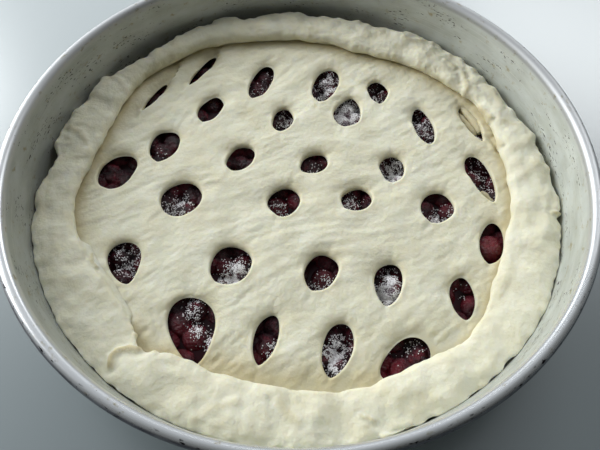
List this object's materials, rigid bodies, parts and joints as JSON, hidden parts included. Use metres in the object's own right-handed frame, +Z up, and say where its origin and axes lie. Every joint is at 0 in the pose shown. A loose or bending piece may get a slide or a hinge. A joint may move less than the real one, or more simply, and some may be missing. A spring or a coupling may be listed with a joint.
{
  "type": "cherry pie in its baking tin",
  "caption": "Unbaked round cherry pie with a slit top sheet and a rolled dough rim, in its own round metal baking tin.",
  "frame": {"origin": "middle of the tin's flat underside, where the pie stands on a surface", "axes": "+Z up out of the open tin, +X and +Y across it; -Y is the side where the roll's overlapping end and the widest slits lie"},
  "size_m": [0.2996, 0.2996, 0.0518],
  "materials": {
    "tin": "used spun aluminium, fine turning lines, small dark pits and faint yellow stains",
    "rolled_dough": "raw yeast dough, soft and matt",
    "sheet_dough": "raw yeast dough rolled thin, soft and matt",
    "cherries": "wet dark cherries in juice, with coarse sugar"
  },
  "bodies": {
    "root": {"baking_tin": "tin", "base_dough": "rolled_dough", "top_dough": "sheet_dough", "cherry_filling": "cherries"}
  },
  "joints": []
}
